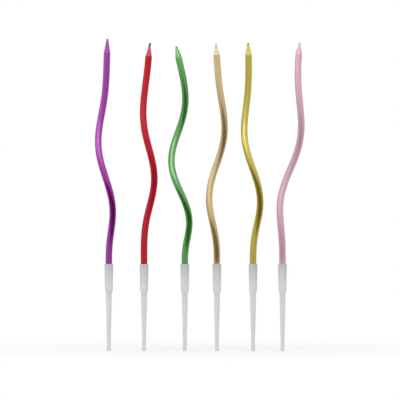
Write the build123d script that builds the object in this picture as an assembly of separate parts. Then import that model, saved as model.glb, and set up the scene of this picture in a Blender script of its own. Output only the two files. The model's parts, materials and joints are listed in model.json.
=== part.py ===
from build123d import *
import math
import os
from dataclasses import dataclass

# A set of thin spiral birthday candles, each pushed into a moulded holder with a spike for the cake.
# Every candle is three pieces: the holder, the wax, and the wick that runs through the wax.
# Millimetres, +Z up. The row of holders runs along +X. The origin is on the first holder's axis,
# at the foot of its shoulder: the cake's surface is there when the spike is pushed right in.

# Wax: a round stick with a straight butt, a left-handed spiral and a pencil-like point
CANDLE_DIAMETER = 3.5
BUTT_CHAMFER = 0.25
POINT_LIP = 0.05

# Wick: a waxed cotton cord through the whole candle, cut off a little above the point
WICK_DIAMETER = 1.2
WICK_CLEARANCE = 0.05
WICK_END_CHAMFER = 0.2

# Spiral: the wax leans more and more over its swell above the rim, its lean turns about the
# vertical, and from the fade's start it straightens up again towards the point. Some candles are
# also bent to the front close above the rim, and that fades out half-way up. The centre line is a
# pair of tangent arcs in each span, and a span's ends are found in small steps along the lean.
FADE_START = 50.0
FRONT_SWELL = 3.0
FRONT_FADE_START = 30.0
FRONT_FADE_END = 62.0
SPANS = 16
STEPS_PER_SPAN = 24
STRAIGHT_WITHIN = 0.0001

# Holder: a cup for the butt, a sloping shoulder, and a spike with a parallel neck and end
SOCKET_DEPTH = 11.0
SOCKET_CLEARANCE = 0.05
SOCKET_LEAD_IN = 0.2
RIM_WALL = 0.5
RIM_ROUND = 0.1
FOOT_WALL = 0.29
CUP_FLOOR = 2.8
SHOULDER_HEIGHT = 1.5
SHOULDER_ROUND = 0.3
NECK_DIAMETER = 3.06
NECK_LENGTH = 4.0
TAPER_LENGTH = 20.2
SPIKE_END_DIAMETER = 2.04
SPIKE_END_LENGTH = 5.7
SPIKE_END_ROUND = 0.3


@dataclass
class Candle:
    """Where one candle stands in the row, and how its wax is cut and bent."""

    gap: float  # from the holder before it in the row to this one
    free_length: float  # wax from the rim to the point's edge, measured along the wax
    point_length: float  # length of the pencil-like point
    wick_shows: float  # wick above the point
    swell: float  # wax above the rim in which the lean grows
    turn: float  # wax length in which the lean goes once round
    lean: float  # lean of the spiral's belly from the vertical, degrees
    top_lean: float  # lean that is left at the point's edge, degrees
    start_angle: float  # compass direction of the lean at the rim, degrees from +X
    tilt: float  # steady lean of the whole spiral towards +X, degrees
    front_lean: float = 0.0  # lean of the lower part towards -Y, degrees


CANDLES = {
    "purple": Candle(
        gap=0.0, free_length=112.9, point_length=5.9, wick_shows=1.4,
        swell=32.0, turn=82.0, lean=19.5, top_lean=0.0, start_angle=26.0, tilt=1.6,
    ),
    "red": Candle(
        gap=18.3, free_length=110.6, point_length=4.5, wick_shows=2.5,
        swell=42.0, turn=76.0, lean=18.0, top_lean=4.5, start_angle=121.0, tilt=1.4,
    ),
    "green": Candle(
        gap=21.2, free_length=113.6, point_length=5.6, wick_shows=0.6,
        swell=22.0, turn=70.0, lean=24.0, top_lean=12.0, start_angle=25.0, tilt=-0.6,
    ),
    "gold": Candle(
        gap=16.7, free_length=111.6, point_length=3.9, wick_shows=2.0,
        swell=38.0, turn=86.5, lean=23.0, top_lean=0.0, start_angle=227.0, tilt=-3.5, front_lean=13.8,
    ),
    "yellow": Candle(
        gap=18.8, free_length=111.8, point_length=4.8, wick_shows=1.6,
        swell=29.0, turn=76.0, lean=19.0, top_lean=2.0, start_angle=68.0, tilt=-1.1,
    ),
    "pink": Candle(
        gap=15.3, free_length=112.8, point_length=2.9, wick_shows=2.5,
        swell=40.0, turn=79.8, lean=19.4, top_lean=5.3, start_angle=230.0, tilt=4.3, front_lean=8.6,
    ),
}

# Worked out from the sizes above
UP = Vector(0, 0, 1)
SOCKET_DIAMETER = CANDLE_DIAMETER + 2 * SOCKET_CLEARANCE
RIM_DIAMETER = SOCKET_DIAMETER + 2 * RIM_WALL
FOOT_DIAMETER = SOCKET_DIAMETER + 2 * FOOT_WALL
CHANNEL_DIAMETER = WICK_DIAMETER + 2 * WICK_CLEARANCE
POINT_TOP_DIAMETER = CHANNEL_DIAMETER + 2 * POINT_LIP
FLOOR_Z = SHOULDER_HEIGHT + CUP_FLOOR
RIM_Z = FLOOR_Z + SOCKET_DEPTH
TAPER_END_Z = -NECK_LENGTH - TAPER_LENGTH
SPIKE_END_Z = TAPER_END_Z - SPIKE_END_LENGTH


def smooth(share):
    """0 below 0, 1 above 1, and an S-shaped rise between them."""
    share = min(max(share, 0.0), 1.0)
    return share * share * (3 - 2 * share)


def wax_direction(candle, along):
    """The way the wax points, at a length along it above the rim."""
    rise = smooth(along / candle.swell)
    fade = smooth((along - FADE_START) / (candle.free_length - FADE_START))
    belly_slope = math.tan(math.radians(candle.lean))
    top_slope = math.tan(math.radians(candle.top_lean))
    slope = rise * (belly_slope + (top_slope - belly_slope) * fade)
    sideways = rise * math.tan(math.radians(candle.tilt))
    front_fade = smooth((along - FRONT_FADE_START) / (FRONT_FADE_END - FRONT_FADE_START))
    front_slope = math.tan(math.radians(candle.front_lean))
    frontwards = smooth(along / FRONT_SWELL) * (1 - front_fade) * front_slope
    compass = math.radians(candle.start_angle - 360 * along / candle.turn)
    across = slope * math.cos(compass) + sideways
    return Vector(across, slope * math.sin(compass) - frontwards, 1).normalized()


def wax_knots(candle, row_x):
    """Points on the centre line and the direction at each, from the rim to the point's edge."""
    span = candle.free_length / SPANS
    step = span / STEPS_PER_SPAN
    place = Vector(row_x, 0, RIM_Z)
    knots = [(place, wax_direction(candle, 0))]
    for number in range(SPANS):
        for part in range(STEPS_PER_SPAN):
            place += wax_direction(candle, number * span + (part + 0.5) * step) * step
        knots.append((place, wax_direction(candle, (number + 1) * span)))
    return knots


def tangent_edge(start, direction, end):
    """An arc that leaves start in the given direction for end, or a line if end is straight ahead."""
    chord = end - start
    if direction.cross(chord).length < STRAIGHT_WITHIN:
        return Edge.make_line(start, end)
    return Edge.make_tangent_arc(start, direction, end)


def biarc(start, start_direction, end, end_direction):
    """Two arcs, tangent to each other, that leave start and reach end in the given directions."""
    chord = end - start
    along = chord.dot(start_direction + end_direction)
    spread = 2 * (1 - start_direction.dot(end_direction))
    reach = chord.dot(chord) / (along + math.sqrt(along**2 + spread * chord.dot(chord)))
    middle = (start + end + (start_direction - end_direction) * reach) / 2
    first = tangent_edge(start, start_direction, middle)
    return [first, tangent_edge(middle, first % 1, end)]


def wax_path(knots):
    """The centre line from the butt's face to the point's edge."""
    rim = knots[0][0]
    edges = [Edge.make_line(rim - UP * SOCKET_DEPTH, rim)]
    for (start, start_direction), (end, end_direction) in zip(knots, knots[1:]):
        edges += biarc(start, start_direction, end, end_direction)
    return Wire(edges)


def tube(path, diameter):
    """A round solid along the whole path."""
    return sweep(Plane(path @ 0, z_dir=path % 0) * Circle(diameter / 2), path=path)


def holder(row_x):
    """The moulded holder: one half of its section, turned about its axis."""
    foot = (FOOT_DIAMETER / 2, SHOULDER_HEIGHT)
    rim = (RIM_DIAMETER / 2, RIM_Z)
    spike_end = (SPIKE_END_DIAMETER / 2, SPIKE_END_Z)
    outline = Polyline(
        (0, SPIKE_END_Z),
        spike_end,
        (SPIKE_END_DIAMETER / 2, TAPER_END_Z),
        (NECK_DIAMETER / 2, -NECK_LENGTH),
        (NECK_DIAMETER / 2, 0),
        foot,
        rim,
        (SOCKET_DIAMETER / 2 + SOCKET_LEAD_IN, RIM_Z),
        (SOCKET_DIAMETER / 2, RIM_Z - SOCKET_LEAD_IN),
        (SOCKET_DIAMETER / 2, FLOOR_Z),
        (0, FLOOR_Z),
        close=True,
    )
    section = make_face(outline)
    for corner, radius in ((foot, SHOULDER_ROUND), (rim, RIM_ROUND), (spike_end, SPIKE_END_ROUND)):
        section = fillet(section.vertices().sort_by_distance(corner)[0], radius)
    return Pos(row_x, 0, 0) * revolve(Plane.XZ * section, Axis.Z)


def wax(candle, path):
    """The bent stick with its point, and the channel that the wick runs in."""
    tip = Plane(path @ 1, z_dir=path % 1)
    stick = tube(path, CANDLE_DIAMETER)
    butt_edge = stick.edges().filter_by(GeomType.CIRCLE).group_by(Axis.Z)[0]
    stick = chamfer(butt_edge, BUTT_CHAMFER)
    point = tip * Cone(
        CANDLE_DIAMETER / 2,
        POINT_TOP_DIAMETER / 2,
        candle.point_length,
        align=(Align.CENTER, Align.CENTER, Align.MIN),
    )
    channel_end = tip * Cylinder(
        CHANNEL_DIAMETER / 2, candle.point_length, align=(Align.CENTER, Align.CENTER, Align.MIN)
    )
    return stick + point - tube(path, CHANNEL_DIAMETER) - channel_end


def wick(candle, path):
    """The cord from the butt's face to its cut end above the point."""
    top = path @ 1 + (path % 1) * (candle.point_length + candle.wick_shows)
    cord = tube(Wire([*path.edges(), Edge.make_line(path @ 1, top)]), WICK_DIAMETER)
    return chamfer(cord.edges().filter_by(GeomType.CIRCLE).group_by(Axis.Z)[-1], WICK_END_CHAMFER)


os.makedirs("parts", exist_ok=True)
row_x = 0
for colour, candle in CANDLES.items():
    row_x += candle.gap
    path = wax_path(wax_knots(candle, row_x))
    pieces = {"holder": holder(row_x), "wax": wax(candle, path), "wick": wick(candle, path)}
    for piece, solid in pieces.items():
        export_step(solid, f"parts/{colour}_{piece}.step")
        print(f"{colour}_{piece}: {solid.volume:.1f} mm3")
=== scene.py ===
import bisect
import json
import math

import bmesh
import bpy
from mathutils import Matrix, Vector, noise


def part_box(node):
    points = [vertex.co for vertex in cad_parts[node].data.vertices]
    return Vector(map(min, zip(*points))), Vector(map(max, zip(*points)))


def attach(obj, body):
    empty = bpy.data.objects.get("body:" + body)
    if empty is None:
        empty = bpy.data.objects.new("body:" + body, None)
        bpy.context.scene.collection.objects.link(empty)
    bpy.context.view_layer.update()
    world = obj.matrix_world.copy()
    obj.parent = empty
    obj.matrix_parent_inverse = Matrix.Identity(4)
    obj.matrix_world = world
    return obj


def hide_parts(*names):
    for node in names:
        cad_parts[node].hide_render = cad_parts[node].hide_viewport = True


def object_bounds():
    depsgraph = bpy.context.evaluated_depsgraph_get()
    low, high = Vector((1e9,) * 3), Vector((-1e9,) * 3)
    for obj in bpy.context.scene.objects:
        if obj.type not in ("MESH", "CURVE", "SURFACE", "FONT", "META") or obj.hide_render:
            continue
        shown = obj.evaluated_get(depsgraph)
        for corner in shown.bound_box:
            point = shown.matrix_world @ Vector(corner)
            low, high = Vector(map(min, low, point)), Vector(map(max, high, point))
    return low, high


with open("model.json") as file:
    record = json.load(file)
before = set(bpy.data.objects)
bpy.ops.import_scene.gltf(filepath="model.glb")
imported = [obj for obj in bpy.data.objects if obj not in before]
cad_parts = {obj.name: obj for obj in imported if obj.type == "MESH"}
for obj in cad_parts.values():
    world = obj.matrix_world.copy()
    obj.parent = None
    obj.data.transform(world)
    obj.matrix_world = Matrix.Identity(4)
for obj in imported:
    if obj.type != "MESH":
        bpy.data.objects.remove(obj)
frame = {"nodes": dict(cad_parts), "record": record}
cad_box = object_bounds()

# Wicks: a cord of three cotton plies, twisted, soaked in wax and snipped off at a slant just above
# the point. It runs through the whole candle, so its CAD solid also gives the candle's centre line,
# which is read here from level cuts through a copy of that solid.
mm = 0.001
merge_within = 0.001 * mm
mounts = frame["record"]["mounts"]
colours = [mount["name"].removesuffix("_spike") for mount in mounts]
cut_every = 2.0 * mm
cut_inside_ends = 0.5 * mm
points_per_cut = 8
line_order = 4
wick_radius = 0.6 * mm
wick_sides = 24
wick_sharp_over = 50
wick_end_round = 0.16 * mm
wick_end_steps = 2
ply_count = 3
ply_groove = 0.132 * mm
twist_length = 3.6 * mm
wick_ring_every = twist_length / wick_sides
snip_slant = 0.3
# How far an end sways towards +X, and how thick the wax is that clings round its foot
wick_sways = {"red": 0.35 * mm, "green": -0.25 * mm}
wick_sleeves = {"pink": 0.15 * mm}
# The pale of each wick's fibres, and the dark that is painted as shade in the gaps between them
wick_fibre_and_gap_shade_colours = {
    "purple": ("#A070A2", "#7A4C7E"),
    "red": ("#8A4650", "#542630"),
    "green": ("#848E80", "#666E62"),
    "gold": ("#D6D0C4", "#B8B0A0"),
    "yellow": ("#BDB57A", "#8E8852"),
    "pink": ("#E6D0D8", "#CAB2BC"),
}
noise_detail = 2.0
# A Mix node's colour sockets go by number, because its other types have sockets of the same names
mix_from = 6
mix_to = 7
mix_result = 2


def centre_line(cord):
    """Points up the middle of a cord's solid, from its lower end to just below its upper one."""
    low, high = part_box(cord)
    solid = bmesh.new()
    solid.from_mesh(frame["nodes"][cord].data)
    bmesh.ops.remove_doubles(solid, verts=solid.verts, dist=merge_within)
    stretch = high.z - low.z - 2 * cut_inside_ends
    cuts = round(stretch / cut_every)
    curve = bpy.data.curves.new("centre_line", "CURVE")
    curve.dimensions = "3D"
    curve.resolution_u = points_per_cut
    spline = curve.splines.new("NURBS")
    spline.points.add(cuts + 1)
    for number in range(cuts + 1):
        height = low.z + cut_inside_ends + stretch * number / cuts
        parts = solid.verts[:] + solid.edges[:] + solid.faces[:]
        cut = bmesh.ops.bisect_plane(
            solid, geom=parts, plane_co=(0, 0, height), plane_no=(0, 0, 1), clear_inner=True
        )["geom_cut"]
        rim = [part.co for part in cut if isinstance(part, bmesh.types.BMVert)]
        xs = [place.x for place in rim]
        ys = [place.y for place in rim]
        middle = ((min(xs) + max(xs)) / 2, (min(ys) + max(ys)) / 2)
        spline.points[number + 1].co = (*middle, height, 1)
        if number == 0:
            spline.points[0].co = (*middle, low.z, 1)
    solid.free()
    spline.order_u = line_order
    spline.use_endpoint_u = True
    drawn = bpy.data.objects.new("centre_line", curve)
    bpy.context.scene.collection.objects.link(drawn)
    line = bpy.data.meshes.new_from_object(drawn)
    points = [vertex.co.copy() for vertex in line.vertices]
    bpy.data.objects.remove(drawn)
    bpy.data.curves.remove(curve)
    bpy.data.meshes.remove(line)
    return points


def stations(points):
    """The length along a line at each of its points, and the place there of what bends with it."""
    lengths = []
    places = []
    direction = Vector((0, 0, 1))
    rotation = Matrix.Identity(3)
    for number, point in enumerate(points):
        before = points[max(number - 1, 0)]
        after = points[min(number + 1, len(points) - 1)]
        ahead = (after - before).normalized()
        rotation = direction.rotation_difference(ahead).to_matrix() @ rotation
        direction = ahead
        lengths.append((lengths[-1] if lengths else 0.0) + (point - before).length)
        places.append(Matrix.LocRotScale(point, rotation, None))
    return lengths, places


def bend(bm, lengths, places):
    """Bends what stands straight up on the origin along a line's stations."""
    for vertex in bm.verts:
        upper = min(max(bisect.bisect(lengths, vertex.co.z), 1), len(lengths) - 1)
        start, end = lengths[upper - 1], lengths[upper]
        share = min(max((vertex.co.z - start) / (end - start), 0.0), 1.0)
        from_below = places[upper - 1] @ (vertex.co - Vector((0, 0, start)))
        from_above = places[upper] @ (vertex.co - Vector((0, 0, end)))
        vertex.co = from_below.lerp(from_above, share)


def length_at_height(lengths, places, height, edge_radius):
    """The length along a line to a round end whose edge reaches up to a height."""
    way = places[-1].col[2].to_3d()
    slope = math.sqrt(max(1 - way.z**2, 0.0))
    return lengths[-1] + (height - edge_radius * slope - places[-1].translation.z) / way.z


def cut_flat(bm, place, way):
    """Cuts off what lies past a plane and closes the cut with one flat face."""
    parts = bm.verts[:] + bm.edges[:] + bm.faces[:]
    cut = bmesh.ops.bisect_plane(bm, geom=parts, plane_co=place, plane_no=way, clear_outer=True)
    rim = [part for part in cut["geom_cut"] if isinstance(part, bmesh.types.BMEdge)]
    bmesh.ops.edgeloop_fill(bm, edges=rim)


def finished(name, bm, sharp_over):
    """The piece that a bmesh holds, smooth but for edges sharper than the given degrees."""
    mesh = bpy.data.meshes.new(name)
    bm.to_mesh(mesh)
    bm.free()
    mesh.shade_smooth()
    mesh.set_sharp_from_angle(angle=math.radians(sharp_over))
    piece = bpy.data.objects.new(name, mesh)
    bpy.context.scene.collection.objects.link(piece)
    return piece


def linear(colour):
    """An sRGB hex colour as the linear values that a shader takes."""
    values = [int(colour[start : start + 2], 16) / 255 for start in (1, 3, 5)]
    return (*(v / 12.92 if v <= 0.04045 else ((v + 0.055) / 1.055) ** 2.4 for v in values), 1)


def feed(made, inputs):
    """Sets each input of a node to a value, or links it to another node's output."""
    for name, value in inputs.items():
        if isinstance(value, bpy.types.NodeSocket):
            made.id_data.links.new(value, made.inputs[name])
        else:
            made.inputs[name].default_value = value


def node(tree, kind, inputs, **settings):
    """A new node, with its settings and with each input set to a value or linked to an output."""
    made = tree.nodes.new(kind)
    for name, value in settings.items():
        setattr(made, name, value)
    feed(made, inputs)
    return made


def new_finish(name):
    """A new material, its node tree and its shader."""
    material = bpy.data.materials.new(name)
    material.use_nodes = True
    return material, material.node_tree, material.node_tree.nodes["Principled BSDF"]


def waxed_cotton(colour, pale, dark):
    """Cotton soaked in wax: dull, with painted shade darkening the gaps between its fibres, which
    follow the twist.

    Real fibres are about a quarter as wide as these, too fine to show.
    """
    fibre_width = 0.08 * mm
    fibre_stretch = 0.08
    fibre_bump = 0.04 * mm
    gap_below = 0.35
    fibre_above = 0.65
    dull_roughness = 0.7
    material, tree, shader = new_finish(f"waxed_cotton_{colour}")
    place = node(tree, "ShaderNodeAttribute", {}, attribute_name="straight_cord").outputs["Vector"]
    drawn = node(tree, "ShaderNodeMapping", {"Vector": place, "Scale": (1, 1, fibre_stretch)})
    fibres = node(
        tree,
        "ShaderNodeTexNoise",
        {"Vector": drawn.outputs["Vector"], "Scale": 1 / fibre_width, "Detail": noise_detail},
    )
    # Low places in the fibre noise are the gaps between fibres: they sink in the bump and take the dark
    # colour as painted shade
    fibre_relief_and_gap_shade = node(
        tree,
        "ShaderNodeMapRange",
        {"Value": fibres.outputs["Fac"], "From Min": gap_below, "From Max": fibre_above},
    ).outputs["Result"]
    shade = node(
        tree,
        "ShaderNodeMix",
        {"Factor": fibre_relief_and_gap_shade, mix_from: linear(dark), mix_to: linear(pale)},
        data_type="RGBA",
    )
    bump = node(tree, "ShaderNodeBump", {"Height": fibre_relief_and_gap_shade, "Distance": fibre_bump})
    feed(
        shader,
        {
            "Base Color": shade.outputs[mix_result],
            "Normal": bump.outputs["Normal"],
            "Roughness": dull_roughness,
        },
    )
    return material


centre_lines = {}
for number, colour in enumerate(colours):
    centre_lines[colour] = stations(centre_line(f"{colour}_wick"))
    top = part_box(f"{colour}_wick")[1].z
    length = length_at_height(*centre_lines[colour], top, wick_radius - wick_end_round)
    uncut = length + wick_radius
    bm = bmesh.new()
    bmesh.ops.create_cone(
        bm, cap_ends=True, segments=wick_sides, radius1=wick_radius, radius2=wick_radius, depth=uncut
    )
    bmesh.ops.translate(bm, vec=(0, 0, uncut / 2), verts=bm.verts)
    snip_turn = Matrix.Rotation(math.tau * number / len(colours), 3, "Z")
    snip_way = snip_turn @ Vector((snip_slant, 0, 1))
    cut_flat(bm, (0, 0, length - snip_slant * wick_radius), snip_way)
    end_edges = [edge for edge in bm.edges if all(v.co.z > length / 2 for v in edge.verts)]
    bmesh.ops.bevel(
        bm,
        geom=end_edges,
        offset=wick_end_round,
        affect="EDGES",
        segments=wick_end_steps,
        profile=0.5,
        material=-1,
    )
    long_edges = [edge for edge in bm.edges if edge.calc_length() > length / 2]
    bmesh.ops.subdivide_edges(
        bm, edges=long_edges, cuts=round(length / wick_ring_every), use_grid_fill=True
    )
    shows_above = length_at_height(*centre_lines[colour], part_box(f"{colour}_wax")[1].z, 0)
    sleeve = wick_sleeves.get(colour, 0)
    sway = wick_sways.get(colour, 0)
    straight = bm.verts.layers.float_vector.new("straight_cord")
    for vertex in bm.verts:
        vertex[straight] = vertex.co
        around = math.atan2(vertex.co.y, vertex.co.x)
        groove = ply_groove * (1 - abs(math.cos(ply_count * around / 2)))
        vertex.co.xy *= 1 - groove / wick_radius
        vertex.co = Matrix.Rotation(math.tau * vertex.co.z / twist_length, 3, "Z") @ vertex.co
        shown = max(vertex.co.z - shows_above, 0) / (length - shows_above)
        if shown:
            vertex.co.xy *= 1 + sleeve * (1 - shown) / wick_radius
            vertex.co.x += sway * shown**2
    bend(bm, *centre_lines[colour])
    wick = finished(f"{colour}_wick_cord", bm, wick_sharp_over)
    wick.data.materials.append(waxed_cotton(colour, *wick_fibre_and_gap_shade_colours[colour]))
    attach(wick, f"{colour}_candle")
    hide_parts(f"{colour}_wick")

# Wax: a straight stick of paraffin, dipped in pearl lacquer, cut to a point like a pencil's and
# bent warm into a left-handed spiral. The lacquer's streaks run along the stick, so each vertex
# keeps its place on the straight stick, which the material reads.
wax_radius = 1.75 * mm
wax_sides = 48
wax_ring_every = 0.7 * mm
wax_sharp_over = 25
channel_radius = 0.65 * mm
point_lip = 0.05 * mm
lip_radius = channel_radius + point_lip
butt_chamfer = 0.25 * mm
round_steps = 4
dip_wave = 9.0 * mm
dip_swell = 0.03 * mm
point_lengths = {
    "purple": 5.9 * mm,
    "red": 4.5 * mm,
    "green": 5.6 * mm,
    "gold": 3.9 * mm,
    "yellow": 4.8 * mm,
    "pink": 2.9 * mm,
}
# A knife leaves a ledge where it starts to cut a point; the dipped points have a round shoulder
point_ledges = {"red": 0.14 * mm, "gold": 0.1 * mm, "purple": 0.07 * mm, "yellow": 0.05 * mm}
point_rounds = {"green": 1.2 * mm, "pink": 0.8 * mm}
# How far a point stops short, so that a short wick shows
point_trims = {"green": 0.6 * mm}
# Each lacquer's body, bright and deep colour, how metallic its flakes are and how glossy its film
lacquers = {
    "purple": ("#8E0A90", "#A01AA2", "#7C047E", 0.8, 0.4),
    "red": ("#B20822", "#BE1228", "#A20418", 0.3, 0.05),
    "green": ("#338C25", "#47A039", "#217815", 0.72, 0.64),
    "gold": ("#BC9C58", "#C8AA66", "#AC8A46", 0.82, 1.0),
    "yellow": ("#B0A01A", "#BCAC28", "#A2900C", 0.84, 0.5),
    "pink": ("#CBA2B0", "#D6B0BE", "#BE92A2", 0.4, 0.16),
}
# The pale and the dark of the wax on each point that a knife cut
bare_waxes = {
    "purple": ("#A848AE", "#903694"),
    "red": ("#D84660", "#C6324C"),
    "gold": ("#E4D6AC", "#D4C498"),
    "yellow": ("#D6CC6A", "#C2B650"),
}
even_glow = (1, 1, 1)


def turned_section(corners):
    """A bmesh of a closed section beside the Z axis: the radius, height and rounding of its corners."""
    bm = bmesh.new()
    section = [bm.verts.new((radius, 0, height)) for radius, height, rounding in corners]
    for here, there in zip(section, section[1:] + section[:1]):
        bm.edges.new((here, there))
    for vertex, (radius, height, rounding) in zip(section, corners):
        if rounding:
            bmesh.ops.bevel(
                bm,
                geom=[vertex],
                offset=rounding,
                affect="VERTICES",
                segments=round_steps,
                profile=0.5,
                material=-1,
            )
    return bm


def spin_round(bm, steps):
    """Turns a bmesh's section once about the Z axis, closes its poles and faces it outwards."""
    bmesh.ops.spin(
        bm,
        geom=bm.verts[:] + bm.edges[:],
        cent=(0, 0, 0),
        axis=(0, 0, 1),
        angle=math.tau,
        steps=steps,
        use_merge=True,
    )
    bmesh.ops.remove_doubles(bm, verts=bm.verts, dist=merge_within)
    bmesh.ops.recalc_face_normals(bm, faces=bm.faces)


def pearl_lacquer(colour, body, bright, deep, metallic, gloss):
    """Pearl lacquer on wax: flakes that glint like metal in a clear film, streaked along the stick.

    Real flakes are about a third as wide as these, too fine to show.
    """
    streak_width = 1.2 * mm
    streak_stretch = 0.06
    cloud_width = 6 * mm
    least_roughness = 0.36
    most_roughness = 0.46
    flake_width = 0.1 * mm
    flake_lean = 0.12
    flake_middle = (0.5, 0.5, 0.5)
    flake_specular = 0.2
    film_roughness = 0.22
    film_ior = 2.1
    material, tree, shader = new_finish(f"pearl_lacquer_{colour}")
    place = node(tree, "ShaderNodeAttribute", {}, attribute_name="straight_stick").outputs["Vector"]
    drawn = node(tree, "ShaderNodeMapping", {"Vector": place, "Scale": (1, 1, streak_stretch)})
    streaks = node(
        tree,
        "ShaderNodeTexNoise",
        {"Vector": drawn.outputs["Vector"], "Scale": 1 / streak_width, "Detail": noise_detail},
    )
    clouds = node(
        tree,
        "ShaderNodeTexNoise",
        {"Vector": place, "Scale": 1 / cloud_width, "Detail": noise_detail},
    )
    flakes = node(
        tree, "ShaderNodeTexVoronoi", {"Vector": place, "Scale": 1 / flake_width}
    ).outputs["Color"]
    lean = node(tree, "ShaderNodeVectorMath", {0: flakes, 1: flake_middle}, operation="SUBTRACT")
    upright = node(tree, "ShaderNodeNewGeometry", {}).outputs["Normal"]
    leaning = node(
        tree,
        "ShaderNodeVectorMath",
        {0: lean.outputs["Vector"], 1: (flake_lean, flake_lean, flake_lean), 2: upright},
        operation="MULTIPLY_ADD",
    )
    glint = node(
        tree, "ShaderNodeVectorMath", {0: leaning.outputs["Vector"]}, operation="NORMALIZE"
    )
    streaked = node(
        tree,
        "ShaderNodeMix",
        {"Factor": streaks.outputs["Fac"], mix_from: linear(deep), mix_to: linear(bright)},
        data_type="RGBA",
    )
    shade = node(
        tree,
        "ShaderNodeMix",
        {"Factor": flakes, mix_from: streaked.outputs[mix_result], mix_to: linear(body)},
        data_type="RGBA",
    )
    rough = node(
        tree,
        "ShaderNodeMapRange",
        {"Value": clouds.outputs["Fac"], "To Min": least_roughness, "To Max": most_roughness},
    )
    feed(
        shader,
        {
            "Base Color": shade.outputs[mix_result],
            "Roughness": rough.outputs["Result"],
            "Normal": glint.outputs["Vector"],
            "Metallic": metallic,
            "Specular IOR Level": flake_specular,
            "Coat Weight": gloss,
            "Coat Roughness": film_roughness,
            "Coat IOR": film_ior,
        },
    )
    return material


def bare_wax(colour, pale, dark):
    """Bare dyed paraffin where a turning knife cut the point: paler, cloudy, with faint rings."""
    cloud_width = 0.8 * mm
    cloud_detail = 3.0
    ring_width = 0.25 * mm
    ring_flatness = 0.12
    ring_depth = 0.05 * mm
    cut_roughness = 0.4
    glow_share = 0.4
    glow_depth = 0.5 * mm
    material, tree, shader = new_finish(f"bare_wax_{colour}")
    place = node(tree, "ShaderNodeAttribute", {}, attribute_name="straight_stick").outputs["Vector"]
    clouds = node(
        tree,
        "ShaderNodeTexNoise",
        {"Vector": place, "Scale": 1 / cloud_width, "Detail": cloud_detail},
    )
    level = node(
        tree, "ShaderNodeMapping", {"Vector": place, "Scale": (ring_flatness, ring_flatness, 1)}
    )
    rings = node(
        tree,
        "ShaderNodeTexNoise",
        {"Vector": level.outputs["Vector"], "Scale": 1 / ring_width, "Detail": noise_detail},
    )
    shade = node(
        tree,
        "ShaderNodeMix",
        {"Factor": clouds.outputs["Fac"], mix_from: linear(dark), mix_to: linear(pale)},
        data_type="RGBA",
    )
    bump = node(tree, "ShaderNodeBump", {"Height": rings.outputs["Fac"], "Distance": ring_depth})
    feed(
        shader,
        {
            "Base Color": shade.outputs[mix_result],
            "Normal": bump.outputs["Normal"],
            "Roughness": cut_roughness,
            "Subsurface Weight": glow_share,
            "Subsurface Radius": even_glow,
            "Subsurface Scale": glow_depth,
        },
    )
    return material


for colour in colours:
    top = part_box(f"{colour}_wax")[1].z
    length = length_at_height(*centre_lines[colour], top, lip_radius)
    shoulder = length - point_lengths[colour]
    length -= point_trims.get(colour, 0)
    corners = [
        (channel_radius, 0, 0),
        (wax_radius - butt_chamfer, 0, 0),
        (wax_radius, butt_chamfer, 0),
    ]
    if colour in point_ledges:
        corners += [(wax_radius, shoulder, 0), (wax_radius - point_ledges[colour], shoulder, 0)]
    else:
        corners.append((wax_radius, shoulder, point_rounds[colour]))
    corners += [(lip_radius, length, 0), (channel_radius, length, 0)]
    bm = turned_section(corners)
    long_edges = [edge for edge in bm.edges if edge.calc_length() > shoulder / 2]
    bmesh.ops.subdivide_edges(bm, edges=long_edges, cuts=round(shoulder / wax_ring_every))
    spin_round(bm, wax_sides)
    if colour in bare_waxes:
        for face in bm.faces:
            face.material_index = int(face.calc_center_median().z > shoulder)
    straight = bm.verts.layers.float_vector.new("straight_stick")
    for vertex in bm.verts:
        vertex[straight] = vertex.co
        if vertex.co.xy.length > lip_radius and vertex.co.z < shoulder:
            swell = dip_swell * noise.noise(vertex.co / dip_wave)
            vertex.co.xy *= 1 + swell / wax_radius
    bend(bm, *centre_lines[colour])
    wax = finished(f"{colour}_wax_stick", bm, wax_sharp_over)
    wax.data.materials.append(pearl_lacquer(colour, *lacquers[colour]))
    if colour in bare_waxes:
        wax.data.materials.append(bare_wax(colour, *bare_waxes[colour]))
    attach(wax, f"{colour}_candle")
    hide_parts(f"{colour}_wax")

# Holders: each is one injection moulding in milky polypropylene. A cup takes the candle's butt, and
# a sloping shoulder stops the tapered spike at the cake's surface.
holder_sides = 64
holder_sharp_over = 30
socket_radius = 1.8 * mm
socket_lead_in = 0.2 * mm
socket_floor = 4.3 * mm
rim_round = 0.1 * mm
foot_radius = 2.09 * mm
shoulder_height = 1.5 * mm
shoulder_round = 0.3 * mm
spike_end_radius = 1.02 * mm
spike_end_length = 5.7 * mm
spike_end_round = 0.3 * mm


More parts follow.
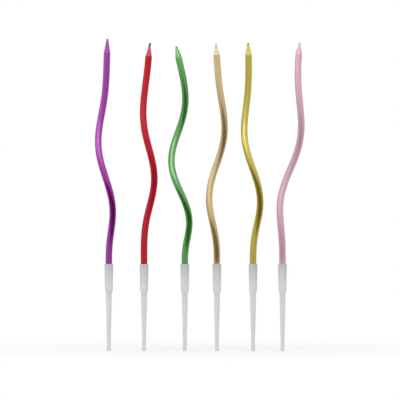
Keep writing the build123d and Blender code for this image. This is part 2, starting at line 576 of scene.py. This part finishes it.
def milky_polypropylene(rim_height):
    """Milky polypropylene off a satin mould: light sinks in, and painted shade darkens the cup towards
    its rim, where the wax inside shades the thin wall.
    """
    dull_white = "#D2D2D2"
    clear_white = "#DCDCDC"
    cloud_width = 2 * mm
    flow_stretch = 0.1
    # How dark the painted shade at the rim makes the plastic
    rim_painted_shade = 0.74
    satin_roughness = 0.35
    glow_share = 0.6
    glow_depth = 0.6 * mm
    material, tree, shader = new_finish("milky_polypropylene")
    place = node(tree, "ShaderNodeTexCoord", {}).outputs["Object"]
    flow = node(tree, "ShaderNodeMapping", {"Vector": place, "Scale": (1, 1, flow_stretch)})
    cloud = node(
        tree,
        "ShaderNodeTexNoise",
        {"Vector": flow.outputs["Vector"], "Scale": 1 / cloud_width, "Detail": noise_detail},
    )
    shade = node(
        tree,
        "ShaderNodeMix",
        {"Factor": cloud.outputs["Fac"], mix_from: linear(dull_white), mix_to: linear(clear_white)},
        data_type="RGBA",
    )
    height = node(tree, "ShaderNodeSeparateXYZ", {"Vector": place}).outputs["Z"]
    # Painted shade: the colour darkens from the socket floor up to the rim, where the wax inside shades
    # the cup's thin wall
    wall = node(
        tree,
        "ShaderNodeMapRange",
        {
            "Value": height,
            "From Min": socket_floor,
            "From Max": rim_height,
            "To Min": 1.0,
            "To Max": rim_painted_shade,
        },
    )
    painted_shade_colour = node(
        tree,
        "ShaderNodeVectorMath",
        {0: shade.outputs[mix_result], "Scale": wall.outputs["Result"]},
        operation="SCALE",
    )
    feed(
        shader,
        {
            "Base Color": painted_shade_colour.outputs["Vector"],
            "Roughness": satin_roughness,
            "Subsurface Weight": glow_share,
            "Subsurface Radius": even_glow,
            "Subsurface Scale": glow_depth,
        },
    )
    return material


polypropylene = milky_polypropylene(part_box(f"{colours[0]}_holder")[1].z)
for colour, mount in zip(colours, mounts):
    low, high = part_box(f"{colour}_holder")
    neck_radius = mount["dims"]["r_mm"] * mm
    neck_length = mount["dims"]["length_mm"] * mm
    rim_radius = (high.x - low.x) / 2
    bm = turned_section(
        [
            (0, low.z, 0),
            (spike_end_radius, low.z, spike_end_round),
            (spike_end_radius, low.z + spike_end_length, 0),
            (neck_radius, -neck_length, 0),
            (neck_radius, 0, 0),
            (foot_radius, shoulder_height, shoulder_round),
            (rim_radius, high.z, rim_round),
            (socket_radius + socket_lead_in, high.z, 0),
            (socket_radius, high.z - socket_lead_in, 0),
            (socket_radius, socket_floor, 0),
            (0, socket_floor, 0),
        ]
    )
    axis_edges = [edge for edge in bm.edges if all(v.co.x < merge_within for v in edge.verts)]
    bmesh.ops.delete(bm, geom=axis_edges, context="EDGES")
    spin_round(bm, holder_sides)
    bmesh.ops.translate(bm, vec=mount["pos_m"], verts=bm.verts)
    holder = finished(f"{colour}_holder_moulding", bm, holder_sharp_over)
    holder.data.materials.append(polypropylene)
    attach(holder, "holders")
    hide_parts(f"{colour}_holder")

# Stage: a long lens looks at the row from the front, over a pale paper floor and in a white room,
# with a softbox in front, above the row, and one at each side. A black velvet cloth lies in front
# of the row: only reflections show it, and it gives the lacquer something dark to mirror.
view_width = 208 * mm
view_middle = Vector((47.4, 0, 48.6)) * mm
lens = 500
sensor = 36
camera = bpy.data.objects.new("camera", bpy.data.cameras.new("camera"))
bpy.context.scene.collection.objects.link(camera)
camera.data.lens = lens
camera.data.sensor_width = sensor
camera.location = view_middle - Vector((0, view_width * lens / sensor, 0))
camera.rotation_euler = (math.radians(90), 0, 0)
bpy.context.scene.camera = camera

floor_reach = 6.0
shadow_reach = 0.25
shadow_whiteness = 0.6
stage_sharp_over = 30
white = (1, 1, 1, 1)
no_gloss = 0


def shown_white(tree):
    """1 for what the camera sees, straight or in a reflection or through glass, and 0 for the rest."""
    path = node(tree, "ShaderNodeLightPath", {}).outputs
    seen = node(
        tree,
        "ShaderNodeMath",
        {0: path["Is Camera Ray"], 1: path["Is Glossy Ray"]},
        operation="ADD",
    )
    seen = node(
        tree,
        "ShaderNodeMath",
        {0: seen.outputs[0], 1: path["Is Transmission Ray"]},
        operation="ADD",
        use_clamp=True,
    )
    return seen.outputs[0]


def floor_paper(middle):
    """Matt white paper: the row's soft shadow shows near the middle and fades to plain white."""
    paper_white = linear("#FCFCFC")
    paper_roughness = 0.9
    material, tree, shader = new_finish("floor_paper")
    feed(
        shader,
        {"Base Color": paper_white, "Roughness": paper_roughness, "Specular IOR Level": no_gloss},
    )
    place = node(tree, "ShaderNodeTexCoord", {}).outputs["Object"]
    away = node(
        tree, "ShaderNodeVectorMath", {0: place, 1: middle}, operation="DISTANCE"
    ).outputs["Value"]
    whiteness = node(
        tree,
        "ShaderNodeMapRange",
        {"Value": away, "From Max": shadow_reach, "To Min": shadow_whiteness, "To Max": 1.0},
        interpolation_type="SMOOTHSTEP",
    )
    glow = node(tree, "ShaderNodeEmission", {"Color": white, "Strength": 1.0})
    mostly = node(
        tree,
        "ShaderNodeMath",
        {0: shown_white(tree), 1: whiteness.outputs["Result"]},
        operation="MULTIPLY",
    )
    lifted = node(
        tree,
        "ShaderNodeMixShader",
        {0: mostly.outputs[0], 1: shader.outputs[0], 2: glow.outputs[0]},
    )
    feed(tree.nodes["Material Output"], {"Surface": lifted.outputs[0]})
    return material


floor_middle = Vector((view_middle.x, 0, cad_box[0].z))
bm = bmesh.new()
bmesh.ops.create_grid(bm, x_segments=1, y_segments=1, size=floor_reach)
bmesh.ops.translate(bm, vec=floor_middle, verts=bm.verts)
floor = finished("floor", bm, stage_sharp_over)
floor.data.materials.append(floor_paper(floor_middle))

cloth_width = 0.5
cloth_depth = 0.45
cloth_before_row = 30 * mm
cloth_above_floor = 1.0 * mm


def black_velvet():
    """Black velvet: its pile swallows the light, so it shows no gloss."""
    pile_black = linear("#0C0C0C")
    pile_roughness = 1.0
    material, _, shader = new_finish("black_velvet")
    feed(
        shader,
        {"Base Color": pile_black, "Roughness": pile_roughness, "Specular IOR Level": no_gloss},
    )
    return material


cloth_middle = floor_middle + Vector((0, -cloth_before_row - cloth_depth / 2, cloth_above_floor))
bm = bmesh.new()
bmesh.ops.create_grid(bm, x_segments=1, y_segments=1, size=1)
bmesh.ops.scale(bm, vec=(cloth_width / 2, cloth_depth / 2, 1), verts=bm.verts)
bmesh.ops.translate(bm, vec=cloth_middle, verts=bm.verts)
cloth = finished("black_cloth", bm, stage_sharp_over)
cloth.data.materials.append(black_velvet())
cloth.visible_camera = False
cloth.visible_diffuse = False
cloth.visible_transmission = False
cloth.visible_shadow = False

# Each softbox's place, width and height in metres, and its watts
softboxes = {
    "front_softbox": ((-0.04, -0.5, 0.5), 0.75, 0.35, 2.2),
    "right_softbox": ((0.7, -0.12, 0.38), 0.3, 0.3, 0.4),
    "left_softbox": ((-0.6, -0.12, 0.3), 0.3, 0.3, 0.5),
}
for name, (place, width, height, watts) in softboxes.items():
    softbox = bpy.data.lights.new(name, "AREA")
    softbox.shape = "RECTANGLE"
    softbox.size = width
    softbox.size_y = height
    softbox.energy = watts
    lamp = bpy.data.objects.new(name, softbox)
    lamp.location = place
    lamp.rotation_euler = (view_middle - lamp.location).to_track_quat("-Z", "Y").to_euler()
    bpy.context.scene.collection.objects.link(lamp)

room_light = 0.56
world = bpy.data.worlds.new("studio")
bpy.context.scene.world = world
world.use_nodes = True
tree = world.node_tree
strength = node(
    tree, "ShaderNodeMapRange", {"Value": shown_white(tree), "To Min": room_light, "To Max": 1.0}
)
feed(tree.nodes["Background"], {"Color": white, "Strength": strength.outputs["Result"]})

bpy.context.scene.view_settings.view_transform = "Standard"
